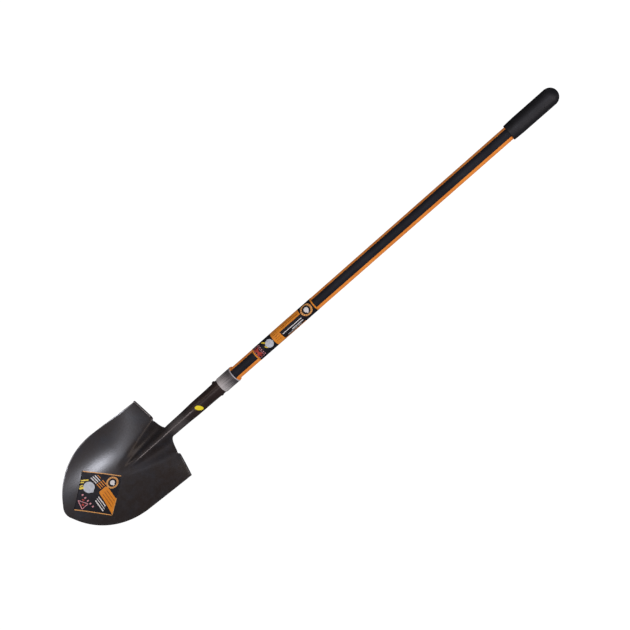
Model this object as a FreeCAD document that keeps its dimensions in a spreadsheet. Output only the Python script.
"""Round point shovel with a long fibreglass handle.

The tool frame has X along the handle from the blade towards the grip, Y across the blade and Z out
of the concave face.  X is zero at the heel of the blade, where the foot steps are, and Y and Z are
zero on the handle's axis.  Every sub-part's Placement then moves the tool frame so that the origin
is in the middle of the footprint and Z = 0 is the ground that the shovel lies on, face up.
"""

import FreeCAD, Part
import Sketcher

import math
import os

Vector = FreeCAD.Vector

# name: (millimetres or degrees, what it is)
DRIVING = {
    "blade_width": (222.0, "across the parallel sides of the blade"),
    "side_length": (119.5, "heel to the start of the rounded nose"),
    "nose_radius": (156.0, "each side of the pointed nose, seen from above"),
    "tip_radius": (28.0, "rounding of the point"),
    "sheet": (2.0, "thickness of the blade and socket steel"),
    "heel_drop": (21.0, "blade face below the handle's axis at the heel"),
    "heel_slope": (0.203, "rise of the blade per millimetre at the heel"),
    "nose_curl": (0.00085, "extra rise per square millimetre towards the point"),
    "heel_dish": (13.0, "rise of the side edges at the heel"),
    "belly_dish": (23.0, "rise of the side edges at the middle of the blade"),
    "frog_length": (138.0, "length of the raised frog that stiffens the blade"),
    "rib_height": (18.0, "frog's rib above the gusset at the heel"),
    "gusset_height": (16.6, "frog's gusset above the blade at the heel"),
    "step_height": (8.0, "foot step, turned forward at the heel"),
    "step_inner": (57.5, "half the gap between the two steps"),
    "step_lead": (0.9, "step's back face in front of zero at its inner end"),
    "step_slant": (0.1, "run-back of the step towards its outer end, per millimetre"),
    "neck_radius": (14.5, "outside of the socket at the blade"),
    "socket_radius": (17.8, "outside of the socket at the collar"),
    "socket_wall": (1.9, "wall of the rolled socket"),
    "socket_end": (227.4, "top edge of the socket"),
    "collar_start": (190.0, "lower edge of the collar"),
    "collar_end": (231.4, "top edge of the collar"),
    "collar_wall": (1.2, "sheet of the collar"),
    "rim_swell": (0.5, "how far the collar's rolled rim stands out"),
    "rivet_place": (177.5, "rivet's axis along the handle"),
    "rivet_radius": (2.5, "rivet's shank"),
    "head_radius": (4.4, "radius of the rivet's domed head"),
    "head_height": (2.6, "height of the rivet's domed head"),
    "tail_height": (1.2, "height of the rivet's set end"),
    "core_start": (98.0, "lower end of the fibreglass tube"),
    "core_end": (1144.0, "upper end of the fibreglass tube"),
    "core_radius": (12.2, "outside of the fibreglass tube"),
    "core_bore": (8.2, "inside of the fibreglass tube"),
    "spigot_start": (112.0, "lower end of the jacket, inside the socket"),
    "spigot_radius": (14.3, "outside of the jacket inside the socket"),
    "handle_radius": (15.8, "outside of the jacket and of the strips in it"),
    "strip_floor": (14.3, "inside radius of the slots for the strips"),
    "strip_angle": (77.0, "width of each strip round the handle"),
    "slot_angle": (79.4, "width of each slot that a strip lies in"),
    "handle_twist": (4.0, "turn of the strips away from the middle of the blade"),
    "lug_radius": (18.5, "outside of the jacket's stop lugs, on the collar"),
    "lug_length": (3.0, "thickness of the stop lugs"),
    "dowel_end": (258.0, "upper end of the dowel that backs the rivet"),
    "plug_length": (34.0, "end plug's length inside the tube"),
    "plug_flange": (2.0, "thickness of the end plug's flange"),
    "grip_start": (1035.5, "open mouth of the grip"),
    "grip_end": (1165.0, "rounded end of the grip"),
    "grip_radius": (19.7, "outside of the grip"),
    "grip_mouth": (18.9, "outside of the grip at its mouth"),
    "grip_taper": (24.0, "length of the tapered mouth of the grip"),
    "wrap_start": (300.0, "lower edge of the handle label"),
    "wrap_end": (479.5, "upper edge of the handle label"),
    "film": (0.25, "thickness of labels and stickers"),
    "fit_gap": (0.05, "gap round each pushed-in piece"),
    "ground_drop": (19.7, "ground below the handle's axis"),
}

doc = FreeCAD.newDocument("round_point_shovel")
sheet = doc.addObject("Spreadsheet::Sheet", "Sizes")


def fill_sheet():
    """Puts every driving size in a cell of its own, with its name as the alias."""
    for row, (name, (value, meaning)) in enumerate(DRIVING.items(), start=1):
        sheet.set(f"A{row}", meaning)
        sheet.set(f"B{row}", str(value))
        sheet.setAlias(f"B{row}", name)
    row = len(DRIVING) + 1
    sheet.set(f"A{row}", "tool frame's heel from the middle of the footprint")
    sheet.set(f"B{row}", str((blade_reach() - DRIVING["grip_end"][0]) / 2))
    sheet.setAlias(f"B{row}", "heel_place")
    doc.recompute()


def size(name):
    return DRIVING[name][0]


def tip_centre():
    """X of the centre of the arc that rounds the point."""
    inner = size("nose_radius") - size("tip_radius")
    inset = size("nose_radius") - size("blade_width") / 2
    return -size("side_length") - math.sqrt(inner**2 - inset**2)


def blade_reach():
    """Distance from the heel to the point, along the handle."""
    return size("tip_radius") - tip_centre()


def place(thing):
    """Binds a sub-part's Placement to the sheet, so that the whole tool moves together."""
    thing.setExpression(".Placement.Base.x", "Sizes.heel_place")
    thing.setExpression(".Placement.Base.z", "Sizes.ground_drop")


# ---------------------------------------------------------------- the blade's sheet of steel


def fade(distance, length):
    """1 at the heel and 0 from length on, with a level end, for what dies away along the blade."""
    part = min(max(distance / length, 0.0), 1.0)
    return 1 - 3 * part**2 + 2 * part**3


def blade_floor(x, y):
    """Height of the dished blade without its frog."""
    along = -x
    floor = -size("heel_drop") + size("heel_slope") * along
    floor += size("nose_curl") * max(along, 0.0) ** 2
    edge = size("heel_dish")
    edge += (size("belly_dish") - size("heel_dish")) * (1 - fade(along, size("blade_width") / 2))
    return floor + edge * (2 * y / size("blade_width")) ** 2


def bump(y, half_width, squareness):
    """A rounded bump across the blade, 1 in the middle; more squareness means steeper flanks."""
    return math.exp(-(abs(y / half_width) ** squareness))


RIB_HALF_WIDTH = (14.5, 5.0)  # at the heel and at the frog's point
RIB_SQUARENESS = 3.0
GUSSET_HALF_WIDTH = (42.0, 12.0)
GUSSET_SQUARENESS = 4.5
FROG_LEAN = 25.0  # how much the frog's crest falls towards its point


def frog_rise(x, y):
    """Height of the frog above the blade: a narrow rib on a broad gusset, both dying away."""
    along = max(-x, 0.0)
    length = size("frog_length")
    part = min(along / length, 1.0)
    total = size("rib_height") + size("gusset_height")
    rise = total * fade(along, length) - FROG_LEAN * part * (1 - part) ** 2
    rib_width = RIB_HALF_WIDTH[1] + (RIB_HALF_WIDTH[0] - RIB_HALF_WIDTH[1]) * (1 - part)
    gusset_width = GUSSET_HALF_WIDTH[1] + (GUSSET_HALF_WIDTH[0] - GUSSET_HALF_WIDTH[1]) * (1 - part)
    rib_share = size("rib_height") / total
    rib = rib_share * bump(y, rib_width, RIB_SQUARENESS)
    gusset = (1 - rib_share) * bump(y, gusset_width, GUSSET_SQUARENESS)
    return rise * (rib + gusset)


def face_height(x, y):
    """Height of the blade's concave face."""
    return blade_floor(x, y) + frog_rise(x, y)


def back_height(x, y):
    """Height of the blade's back, one thickness behind the face, square to it."""
    nudge = 0.5
    slope_x = (face_height(x + nudge, y) - face_height(x - nudge, y)) / (2 * nudge)
    slope_y = (face_height(x, y + nudge) - face_height(x, y - nudge)) / (2 * nudge)
    steepness = math.sqrt(1 + slope_x**2 + slope_y**2)
    return face_height(x, y) - size("sheet") * steepness


def spaced(first, last, count):
    return [first + (last - first) * i / (count - 1) for i in range(count)]


def curved_face(height, xs, ys):
    """A smooth face through the heights over a grid."""
    surface = Part.BSplineSurface()
    surface.interpolate([[Vector(x, y, height(x, y)) for y in ys] for x in xs])
    return surface.toShape()


def slab(upper, lower, xs, ys):
    """The solid between two heights over a rectangle."""
    top = curved_face(upper, xs, ys)
    bottom = curved_face(lower, xs, ys)
    faces = [top, bottom]
    for edge in top.Edges:
        middle = edge.CenterOfMass
        under = min(bottom.Edges, key=lambda e: e.CenterOfMass.distanceToPoint(middle))
        faces.append(Part.makeRuledSurface(edge, under))
    shell = Part.makeShell(faces)
    shell.sewShape()
    solid = Part.makeSolid(shell)
    return solid if solid.Volume > 0 else solid.reversed()


def prism(outline, low, high):
    """An outline in the XY plane, drawn at any height, made into a solid from low to high."""
    face = Part.Face(Part.Wire(Part.__sortEdges__(outline)))
    face.translate(Vector(0, 0, low - face.CenterOfMass.z))
    return face.extrude(Vector(0, 0, high - low))


SADDLE_END = 22.0  # where the frog's sheet ends on the neck
SADDLE_HALF_WIDTH = 13.8
STEP_SETBACK = 3.0  # the blade's flat sheet stops here, and the step's bend takes over
STEP_TAIL = 6.0  # length of the step's root that is buried in the sheet
BEND_RADIUS = 3.0  # inside radius of the step's bend
NOTCH = ((-2.1, 53.5), (-3.4, 49.0), (-1.6, 45.0))  # outer side, floor and inner side
GUSSET_EDGE = ((5.0, 35.0), (11.5, 24.0))  # points of the gusset's swept edge


def mirrored(points):
    return [Vector(p.x, -p.y, p.z) for p in points]


def step_place(y):
    """Where the step's back face is, by the place across the blade."""
    return size("step_lead") - size("step_slant") * (abs(y) - size("step_inner"))


def blade_outline():
    """The blade seen square to the handle's axis, as lines and arcs."""
    half = size("blade_width") / 2
    start = -size("side_length")
    centre = Vector(start, half - size("nose_radius"), 0)
    tip = Vector(tip_centre(), 0, 0)
    outward = (tip - centre).normalize()
    touch = tip + outward * size("tip_radius")
    bisector = (outward + Vector(0, 1, 0)).normalize()
    nose = [Vector(start, half, 0), centre + bisector * size("nose_radius"), touch]
    inner = size("step_inner")
    side = [Vector(step_place(half) - STEP_SETBACK, half, 0), nose[0]]
    step = [Vector(step_place(inner) - STEP_SETBACK, inner, 0), side[0]]
    notch = [step[0]] + [Vector(x, y, 0) for x, y in NOTCH]
    gusset = [notch[-1]] + [Vector(x, y, 0) for x, y in GUSSET_EDGE]
    gusset.append(Vector(SADDLE_END, SADDLE_HALF_WIDTH, 0))
    edges = [Part.Arc(touch, Vector(-blade_reach(), 0, 0), mirrored([touch])[0]).toShape()]
    edges.append(Part.makeLine(gusset[-1], mirrored(gusset)[-1]))
    for flip in (lambda points: points, mirrored):
        edges.append(Part.Arc(*flip(nose)).toShape())
        edges.append(Part.makeLine(*flip(side)))
        edges.append(Part.makeLine(*flip(step)))
        edges.append(Part.makeLine(*flip(notch[:2])))
        edges.append(Part.Arc(*flip(notch[1:])).toShape())
        sweep = Part.BSplineCurve()
        sweep.interpolate(flip(gusset))
        edges.append(sweep.toShape())
    return edges


def step_section(y):
    """The turned step cut across at one place: a tail inside the sheet, a bend and an upright."""
    sheet_t, rise, bend = size("sheet"), size("step_height"), STEP_SETBACK
    proud = 0.12  # keeps the step's surfaces just clear of the blade's own
    lead_in = 0.6  # the bend's inner surface starts this far before its arc
    back = step_place(y)

    def at(x, lift):
        return Vector(back + x, y, face_height(back + min(x, -sheet_t), y) + lift)

    tail = at(-bend - STEP_TAIL, -sheet_t / 2)
    root = at(-sheet_t - BEND_RADIUS - lead_in, proud)
    wall_foot = at(-sheet_t, BEND_RADIUS)
    corner = BEND_RADIUS * (1 - math.sqrt(0.5))
    crook = at(-sheet_t - corner, corner)
    crown = [at(-sheet_t, rise - 1), at(-sheet_t / 2, rise), at(0, rise - 1)]
    outer_foot = at(0, bend - sheet_t)
    heel = at(-bend, -sheet_t - proud)
    turn = bend * (1 - math.sqrt(0.5))
    elbow = at(-turn, turn - sheet_t)
    edges = [
        Part.makeLine(tail, root),
        Part.Arc(root, crook, wall_foot).toShape(),
        Part.makeLine(wall_foot, crown[0]),
        Part.Arc(*crown).toShape(),
        Part.makeLine(crown[2], outer_foot),
        Part.Arc(outer_foot, elbow, heel).toShape(),
        Part.makeLine(heel, tail),
    ]
    return Part.Wire(edges)


def foot_step(side):
    """One foot step, on side +1 or -1."""
    inner, outer = size("step_inner"), size("blade_width") / 2
    return Part.makeLoft([step_section(side * y) for y in spaced(inner, outer, 6)], True, False)


def neck_profile(inset):
    """The socket's outline along its length, inset from the outside, as (x, radius)."""
    neck, full = size("neck_radius") - inset, size("socket_radius") - inset
    return [
        (-9.0, neck - 1.4),
        (8.0, neck - 0.6),
        (26.0, neck),
        (60.0, neck + 0.5),
        (82.0, neck + 1.1),
        (104.0, full - 1.3),
        (150.0, full - 1.0),
        (size("rivet_place"), full - 0.3),
        (size("collar_start"), full),
    ]


def turned(points, end):
    """A solid of revolution about X through smooth points, straight on to end, filled to the axis."""
    smooth = Part.BSplineCurve()
    smooth.interpolate([Vector(x, 0, r) for x, r in points])
    first, last = points[0], points[-1]
    run = [
        Part.makeLine(Vector(first[0], 0, 0), Vector(first[0], 0, first[1])),
        smooth.toShape(),
        Part.makeLine(Vector(last[0], 0, last[1]), Vector(end, 0, last[1])),
        Part.makeLine(Vector(end, 0, last[1]), Vector(end, 0, 0)),
        Part.makeLine(Vector(end, 0, 0), Vector(first[0], 0, 0)),
    ]
    return Part.Face(Part.Wire(run)).revolve(Vector(0, 0, 0), Vector(1, 0, 0), 360)


def socket_mouth_cut():
    """The drop-shaped opening in the back of the socket, where the rolled sheet isn't closed."""
    narrow, wide, start, end = 1.2, 13.0, -12.0, 96.0
    side = [Vector(start, wide, 0), Vector(40, wide - 2, 0), Vector(74, 5, 0), Vector(end, narrow, 0)]
    edges = []
    for points in (side, mirrored(side)):
        curve = Part.BSplineCurve()
        curve.interpolate(points)
        edges.append(curve.toShape())
    edges.append(Part.makeLine(side[0], mirrored(side)[0]))
    edges.append(Part.makeLine(side[-1], mirrored(side)[-1]))
    return prism(edges, -3 * size("socket_radius"), 0.0)


def seam_cut():
    """The thin seam along the back of the rolled socket."""
    seam, start = 0.8, 92.0
    depth = 2 * size("socket_radius")
    corner = Vector(start, -seam / 2, -depth)
    return Part.makeBox(size("socket_end") + 2 - start, seam, depth, corner)


def cross_hole():
    """The rivet's hole, right across the handle."""
    span = 3 * size("socket_radius")
    radius = size("rivet_radius") + size("fit_gap")
    return Part.makeCylinder(radius, 2 * span, Vector(size("rivet_place"), -span, 0), Vector(0, 1, 0))


def make_blade():
    """Blade, frog, steps and socket: one pressed sheet of steel."""
    half = size("blade_width") / 2 + 6
    xs = spaced(-blade_reach() - 8, SADDLE_END + 6, 54)
    ys = spaced(-half, half, 61)
    pressed = slab(face_height, back_height, xs, ys).common(prism(blade_outline(), -80, 120))
    outside = turned(neck_profile(0.0), size("socket_end"))
    inside = turned(neck_profile(size("socket_wall")), size("socket_end") + 1)
    socket = outside.cut([socket_mouth_cut(), seam_cut()])
    whole = pressed.fuse([socket, foot_step(1), foot_step(-1)]).cut([inside, cross_hole()])
    blade = doc.addObject("Part::Feature", "blade")
    blade.Label = "blade"
    blade.Shape = whole.removeSplitter()
    place(blade)
    return blade


# ---------------------------------------------------------------- sketched bodies


def new_body(name):
    body = doc.addObject("PartDesign::Body", name)
    body.Label = name
    return body


def new_sketch(body, role, name, start=None):
    """A sketch on one of the body's own planes, moved out along the plane's normal to start."""
    sketch = body.newObject("Sketcher::SketchObject", f"{body.Name}_{name}")
    plane = next(f for f in body.Origin.OriginFeatures if f.Role == role)
    sketch.AttachmentSupport = (plane, [""])
    sketch.MapMode = "FlatFace"
    if start:
        sketch.setExpression(".AttachmentOffset.Base.z", start)
    return sketch


def fix(sketch, kind, where, formula):
    """A dimension whose value follows a formula in the sheet's names."""
    value = sheet_value(formula)
    if kind == "Angle":
        value = math.radians(value)
    number = sketch.addConstraint(Sketcher.Constraint(kind, *where, value))
    sketch.setExpression(f"Constraints[{number}]", formula)


def sheet_value(formula):
    """First value of a dimension, so that the sketch starts near its solution."""
    probe = sheet.evalExpression(formula)
    return float(getattr(probe, "Value", probe))


CENTRE = (-1, 1)
START, END, MIDDLE = 1, 2, 3


def add_circle(sketch, formula):
    number = sketch.addGeometry(Part.Circle(Vector(0, 0, 0), Vector(0, 0, 1), sheet_value(formula)))
    sketch.addConstraint(Sketcher.Constraint("Coincident", number, MIDDLE, *CENTRE))
    fix(sketch, "Radius", (number,), formula)


def add_sector(sketch, inner, outer, angle, turn):
    """A piece of a ring about the centre: angle wide, its middle at turn degrees plus the twist."""
    half = math.radians(sheet_value(angle)) / 2
    middle = math.radians(turn + size("handle_twist"))
    low, high = middle - half, middle + half
    arcs = []
    for radius in (inner, outer):
        circle = Part.Circle(Vector(0, 0, 0), Vector(0, 0, 1), sheet_value(radius))
        arcs.append(sketch.addGeometry(Part.ArcOfCircle(circle, low, high)))
    near, far = (sketch.Geometry[arc] for arc in arcs)
    sides = [
        sketch.addGeometry(Part.LineSegment(near.StartPoint, far.StartPoint)),
        sketch.addGeometry(Part.LineSegment(near.EndPoint, far.EndPoint)),
    ]
    for arc, radius in zip(arcs, (inner, outer)):
        sketch.addConstraint(Sketcher.Constraint("Coincident", arc, MIDDLE, *CENTRE))
        fix(sketch, "Radius", (arc,), radius)
    for side, corner in zip(sides, (START, END)):
        sketch.addConstraint(Sketcher.Constraint("Coincident", side, START, arcs[0], corner))
        sketch.addConstraint(Sketcher.Constraint("Coincident", side, END, arcs[1], corner))
        sketch.addConstraint(Sketcher.Constraint("PointOnObject", *CENTRE, side))
    fix(sketch, "Angle", (sides[0], START, sides[1], START), angle)
    radius = sheet_value(outer)
    rim = Vector(radius * math.cos(middle), radius * math.sin(middle), 0)
    across = sketch.addGeometry(Part.LineSegment(Vector(0, 0, 0), rim), True)
    sketch.addConstraint(Sketcher.Constraint("Coincident", across, START, *CENTRE))
    sketch.addConstraint(Sketcher.Constraint("PointOnObject", across, END, arcs[1]))
    fix(sketch, "Angle", (across,), f"{turn} + Sizes.handle_twist")
    sketch.addConstraint(Sketcher.Constraint("Symmetric", arcs[1], START, arcs[1], END, across))


def pad(body, name, sketch, length):
    feature = body.newObject("PartDesign::Pad", f"{body.Name}_{name}")
    feature.Profile = sketch
    feature.setExpression("Length", length)
    return feature


def ring(body, name, inner, outer, start, end):
    """A tube along the handle, from start to end."""
    sketch = new_sketch(body, "YZ_Plane", name + "_section", start)
    add_circle(sketch, inner)
    add_circle(sketch, outer)
    pad(body, name, sketch, f"({end}) - ({start})")


def rod(body, name, radius, start, end):
    """A round bar along the handle, from start to end."""
    sketch = new_sketch(body, "YZ_Plane", name + "_section", start)
    add_circle(sketch, radius)
    pad(body, name, sketch, f"({end}) - ({start})")


def anticlockwise_arc(first, through, last):
    """An arc that runs anticlockwise, as sketches need, and whether it runs from last to first."""
    round_it = Part.Arc(first, through, last).toShape().Curve
    centre = round_it.Center
    backwards = (through - first).cross(last - through).z < 0
    begin, finish = (last, first) if backwards else (first, last)
    angles = [math.atan2(end.y - centre.y, end.x - centre.x) for end in (begin, finish)]
    if angles[1] < angles[0]:
        angles[1] += 2 * math.pi
    circle = Part.Circle(centre, Vector(0, 0, 1), round_it.Radius)
    return Part.ArcOfCircle(circle, *angles), backwards


def spin(body, name, role, corners, axis):
    """A closed outline of straight sides and arcs, turned round one of the sketch's axes.

    Each corner is (across, up, arc's mid-point or None), both as formulas in the sheet's names, and
    the arc leads to the next corner.
    """
    sketch = new_sketch(body, role, name + "_section")
    spots = [Vector(sheet_value(across), sheet_value(up), 0) for across, up, bulge in corners]
    sides = []
    for i, (across, up, bulge) in enumerate(corners):
        following = spots[(i + 1) % len(spots)]
        if bulge:
            through = Vector(sheet_value(bulge[0]), sheet_value(bulge[1]), 0)
            arc, backwards = anticlockwise_arc(spots[i], through, following)
            side = sketch.addGeometry(arc)
            sides.append((side, END, START) if backwards else (side, START, END))
        else:
            sides.append((sketch.addGeometry(Part.LineSegment(spots[i], following)), START, END))
    for i, (side, first, last) in enumerate(sides):
        after, start_of_next, _ = sides[(i + 1) % len(sides)]
        sketch.addConstraint(Sketcher.Constraint("Coincident", side, last, after, start_of_next))
        across, up, bulge = corners[i]
        for kind, formula, other_axis in (("DistanceX", across, -2), ("DistanceY", up, -1)):
            if formula == "0":
                sketch.addConstraint(Sketcher.Constraint("PointOnObject", side, first, other_axis))
            else:
                fix(sketch, kind, (*CENTRE, side, first), formula)
        if bulge:
            knot = sketch.addGeometry(Part.Point(Vector(*(sheet_value(part) for part in bulge), 0)), True)
            fix(sketch, "DistanceX", (*CENTRE, knot, START), bulge[0])
            fix(sketch, "DistanceY", (*CENTRE, knot, START), bulge[1])
            sketch.addConstraint(Sketcher.Constraint("PointOnObject", knot, START, side))
    feature = body.newObject("PartDesign::Revolution", f"{body.Name}_{name}")
    feature.Profile = sketch
    feature.ReferenceAxis = (sketch, [axis])
    feature.Angle = 360.0


def drill_for_rivet(body):
    """The rivet's hole, right through both walls."""
    sketch = new_sketch(body, "XZ_Plane", "rivet_hole")
    circle = Part.Circle(Vector(size("rivet_place"), 0, 0), Vector(0, 0, 1), size("rivet_radius"))
    hole = sketch.addGeometry(circle)
    fix(sketch, "Radius", (hole,), "Sizes.rivet_radius + Sizes.fit_gap")
    fix(sketch, "DistanceX", (*CENTRE, hole, MIDDLE), "Sizes.rivet_place")
    sketch.addConstraint(Sketcher.Constraint("PointOnObject", hole, MIDDLE, -1))
    doc.recompute()
    before = body.Shape.Volume
    pocket = body.newObject("PartDesign::Pocket", f"{body.Name}_cross_hole")
    pocket.Profile = sketch
    pocket.Type = "ThroughAll"
    pocket.SideType = "Symmetric"
    doc.recompute()
    check_lost(body, before)


def check_lost(body, before):
    if body.Shape.Volume >= before - 1.0:
        raise RuntimeError(f"{body.Label}: the cut took nothing away")


# ---------------------------------------------------------------- pieces at the socket


def make_collar():
    body = new_body("socket_collar")
    bore = "Sizes.socket_radius + Sizes.fit_gap"
    outside = f"{bore} + Sizes.collar_wall"
    rim = "Sizes.collar_end - 2.6"
    swell = ("Sizes.collar_end - 1.3", f"{outside} + Sizes.rim_swell")
    corners = [
        ("Sizes.collar_start", bore, None),
        ("Sizes.collar_start", f"{outside} - 0.3", None),
        ("Sizes.collar_start + 0.5", outside, None),
        (rim, outside, swell),
        ("Sizes.collar_end", outside, None),
        ("Sizes.collar_end", bore, None),
    ]
    spin(body, "sleeve", "XZ_Plane", corners, "H_Axis")
    place(body)
    return body


def make_rivet():
    """Shank with a domed head on the left and a low set end on the right, turned round Y."""
    body = new_body("socket_rivet")
    shank, head, crown = "Sizes.rivet_radius", "Sizes.head_radius", "0.5"
    seat = "Sizes.socket_radius + Sizes.fit_gap"
    tail = f"-({seat})"
    top, bottom = f"{seat} + Sizes.head_height", f"{tail} - Sizes.tail_height"
    corners = [
        ("0", bottom, None),
        (crown, bottom, (f"{shank} * 0.8", f"{tail} - Sizes.tail_height * 0.8")),
        (f"{shank} + 1.1", tail, None),
        (shank, tail, None),
        (shank, seat, None),
        (head, seat, (f"{head} * 0.75", f"{seat} + Sizes.head_height * 0.7")),
        (crown, top, None),
        ("0", top, None),
    ]
    spin(body, "profile", "XY_Plane", corners, "V_Axis")
    body.setExpression(".Placement.Base.x", "Sizes.heel_place + Sizes.rivet_place")
    body.setExpression(".Placement.Base.z", "Sizes.ground_drop")
    return body


def make_dowel():
    body = new_body("socket_dowel")
    rod(body, "bar", "Sizes.core_bore - Sizes.fit_gap", "Sizes.core_start", "Sizes.dowel_end")
    drill_for_rivet(body)
    place(body)
    return body


# ---------------------------------------------------------------- handle


def make_core():
    body = new_body("handle_core")
    ring(body, "tube", "Sizes.core_bore", "Sizes.core_radius", "Sizes.core_start", "Sizes.core_end")
    drill_for_rivet(body)
    place(body)
    return body


FRONT, BACK, LEFT, RIGHT = 90, 270, 0, 180  # directions round the handle, in a YZ sketch


def make_jacket():
    """The moulded jacket: a thin spigot in the socket, two slots, and a stop lug on each side."""
    body = new_body("handle_jacket")
    bore = "Sizes.core_radius + Sizes.fit_gap"
    ring(body, "spigot", bore, "Sizes.spigot_radius", "Sizes.spigot_start", "Sizes.socket_end + 1")
    ring(body, "sleeve", bore, "Sizes.handle_radius", "Sizes.socket_end + 0.1", "Sizes.core_end")
    for name, turn in (("left_lug", LEFT), ("right_lug", RIGHT)):
        sketch = new_sketch(body, "YZ_Plane", name + "_section", "Sizes.collar_end + 0.1")
        add_sector(sketch, "Sizes.core_radius + 1", "Sizes.lug_radius", "180 - Sizes.slot_angle", turn)
        pad(body, name, sketch, "Sizes.lug_length")
    for name, turn in (("front_slot", FRONT), ("back_slot", BACK)):
        sketch = new_sketch(body, "YZ_Plane", name + "_section", "Sizes.core_end")
        add_sector(sketch, "Sizes.strip_floor", "Sizes.lug_radius + 1", "Sizes.slot_angle", turn)
        doc.recompute()
        before = body.Shape.Volume
        slot = body.newObject("PartDesign::Pocket", f"{body.Name}_{name}")
        slot.Profile = sketch
        slot.setExpression("Length", "Sizes.core_end - Sizes.socket_end - 0.1")
        doc.recompute()
        check_lost(body, before)
    drill_for_rivet(body)
    place(body)
    return body


def make_strip(name, turn):
    body = new_body(name)
    sketch = new_sketch(body, "YZ_Plane", "section", "Sizes.socket_end + 0.3")
    inner = "Sizes.strip_floor + Sizes.fit_gap"
    add_sector(sketch, inner, "Sizes.handle_radius", "Sizes.strip_angle", turn)
    pad(body, "bar", sketch, "Sizes.core_end - Sizes.socket_end - 0.3")
    place(body)
    return body


def make_end_plug():
    body = new_body("end_plug")
    stem = "Sizes.core_bore - Sizes.fit_gap"
    rod(body, "stem", stem, "Sizes.core_end - Sizes.plug_length", "Sizes.core_end + 1")
    flange_start = "Sizes.core_end + Sizes.fit_gap"
    rod(body, "flange", "Sizes.core_radius", flange_start, f"{flange_start} + Sizes.plug_flange")
    place(body)
    return body


def make_grip():
    """A sleeve with a tapered mouth and a domed end, and a bore that takes the handle."""
    body = new_body("grip")
    shoulder = "Sizes.grip_end - Sizes.grip_radius"
    dome = (f"{shoulder} + Sizes.grip_radius * sqrt(0.5)", "Sizes.grip_radius * sqrt(0.5)")
    mouth = ("Sizes.grip_start + 0.3", "Sizes.grip_mouth - 0.3")
    corners = [
        ("Sizes.grip_start", "0", None),
        ("Sizes.grip_start", "Sizes.grip_mouth - 1", mouth),
        ("Sizes.grip_start + 1", "Sizes.grip_mouth", None),
        ("Sizes.grip_start + Sizes.grip_taper", "Sizes.grip_radius", None),
        (shoulder, "Sizes.grip_radius", dome),
        ("Sizes.grip_end", "0", None),
    ]
    spin(body, "outside", "XZ_Plane", corners, "H_Axis")
    sketch = new_sketch(body, "YZ_Plane", "bore_section", "Sizes.grip_start")
    add_circle(sketch, "Sizes.handle_radius + Sizes.fit_gap")
    doc.recompute()
    before = body.Shape.Volume
    bore = body.newObject("PartDesign::Pocket", "grip_bore")
    bore.Profile = sketch
    bore.Reversed = True
    bore.setExpression("Length", "Sizes.core_end + Sizes.plug_flange + 0.4 - Sizes.grip_start")
    doc.recompute()
    check_lost(body, before)
    place(body)
    return body


# ---------------------------------------------------------------- labels


LABEL_MIDDLE = Vector(-191.5, -6.2, 0)  # centre of the square blade label, which stands on one corner
LABEL_TURN = -1.8  # degrees that it is stuck on crooked
LABEL_REACH = (58.5, 63.5)  # from its centre to the corners along and across the blade
STICKER_MIDDLE = (117.8, -6.9)
STICKER_RADII = (9.5, 5.6)
STICKER_TURN = -41.0


def film_solid(shape, name):
    film = doc.addObject("Part::Feature", name)
    film.Label = name
    film.Shape = shape
    place(film)
    return film


def make_blade_label():
    """A square of film that follows the blade's face."""
    lift = size("fit_gap")
    reach_x, reach_y = LABEL_REACH
    margin = 4.0

    def top(x, y):
        return face_height(x, y) + lift + size("film")

    def underside(x, y):
        return face_height(x, y) + lift

    arms = [Vector(reach_x, 0, 0), Vector(0, reach_y, 0), Vector(-reach_x, 0, 0), Vector(0, -reach_y, 0)]
    crooked = FreeCAD.Rotation(Vector(0, 0, 1), LABEL_TURN)
    corners = [LABEL_MIDDLE + crooked.multVec(arm) for arm in arms]
    edges = [Part.makeLine(a, b) for a, b in zip(corners, corners[1:] + corners[:1])]
    xs = spaced(LABEL_MIDDLE.x - reach_x - margin, LABEL_MIDDLE.x + reach_x + margin, 25)
    ys = spaced(LABEL_MIDDLE.y - reach_y - margin, LABEL_MIDDLE.y + reach_y + margin, 35)
    return film_solid(slab(top, underside, xs, ys).common(prism(edges, -80, 120)), "blade_label")


def make_sticker():
    """An oval of film wrapped on the neck, its long axis slanting across it."""
    near, far = -size("fit_gap"), -size("fit_gap") - size("film")
    end = size("collar_start") + 5
    skin = turned(neck_profile(far), end).cut(turned(neck_profile(near), end + 1))
    oval = Part.Ellipse(Vector(0, 0, 0), *STICKER_RADII).toShape()
    oval.rotate(Vector(0, 0, 0), Vector(0, 0, 1), STICKER_TURN)
    oval.translate(Vector(*STICKER_MIDDLE, 0))
    return film_solid(skin.common(prism([oval], 0, 60)), "neck_sticker")


def make_wrap():
    body = new_body("handle_label")
    lift = "Sizes.handle_radius + Sizes.fit_gap"
    ring(body, "wrap", lift, f"{lift} + Sizes.film", "Sizes.wrap_start", "Sizes.wrap_end")
    place(body)
    return body


# ---------------------------------------------------------------- check and write


def check_document():
    """Stops if any object failed to compute."""
    doc.recompute()
    for thing in doc.Objects:
        if "Invalid" in thing.State or "Error" in thing.State:
            raise RuntimeError(f"{thing.Label} failed: {thing.State}")


def write_parts(parts):
    for part in parts:
        if part.Shape.isNull() or not part.Shape.isValid():
            raise RuntimeError(f"{part.Label}: no valid shape")
        if len(part.Shape.Solids) != 1:
            raise RuntimeError(f"{part.Label}: {len(part.Shape.Solids)} solids")
    os.makedirs("parts", exist_ok=True)
    for part in parts:
        part.Shape.exportStep(f"parts/{part.Label}.step")


fill_sheet()
parts = [
    make_blade(),
    make_collar(),
    make_rivet(),
    make_dowel(),
    make_core(),
    make_jacket(),
    make_strip("front_strip", FRONT),
    make_strip("back_strip", BACK),
    make_end_plug(),
    make_grip(),
    make_blade_label(),
    make_wrap(),
    make_sticker(),
]
check_document()
write_parts(parts)
